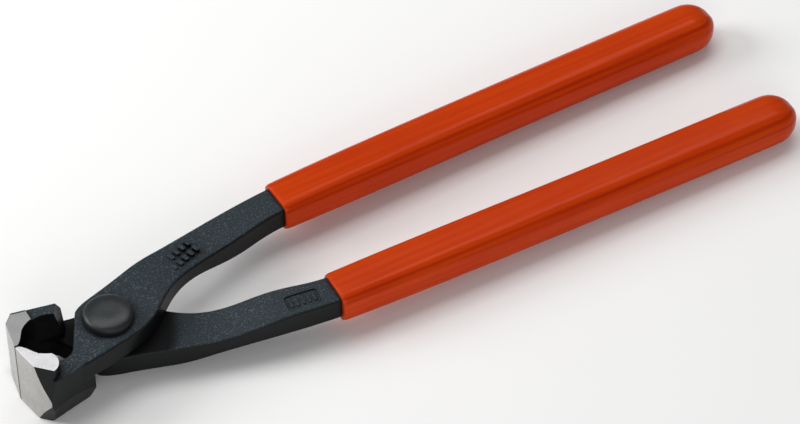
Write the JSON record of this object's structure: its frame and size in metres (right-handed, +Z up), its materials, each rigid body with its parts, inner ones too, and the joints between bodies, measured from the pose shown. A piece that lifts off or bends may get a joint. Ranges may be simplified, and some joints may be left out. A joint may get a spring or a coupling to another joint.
{
  "type": "tile nippers",
  "caption": "End-cutting nippers for biting pieces off tiles: forged levers crossing in a riveted lap joint, wide ground jaws with a hollow behind the edges, and long sleeved handles.",
  "frame": {"origin": "under the middle of the tool's length, on the surface that the jaws' ground undersides lie on", "axes": "+Z up along the pivot axis, +X from the jaws towards the handles, +Y towards the upper lever's handle"},
  "size_m": [0.22, 0.0536, 0.02],
  "materials": {
    "forged_steel": "black lacquer over forged steel, with bare ground jaw faces",
    "rivet_steel": "satin black",
    "grip_plastic": "glossy orange-red"
  },
  "bodies": {
    "lower": {"lower_lever": "forged_steel", "pivot_rivet": "rivet_steel", "lower_grip": "grip_plastic"},
    "upper": {"upper_lever": "forged_steel", "upper_grip": "grip_plastic"}
  },
  "joints": [
    {"name": "lever_pivot", "type": "hinge", "parent": "lower", "child": "upper", "pos_m": [-0.0842, 0, 0.01], "axis": [0, 0, 1], "range_deg": [0, 40]}
  ]
}
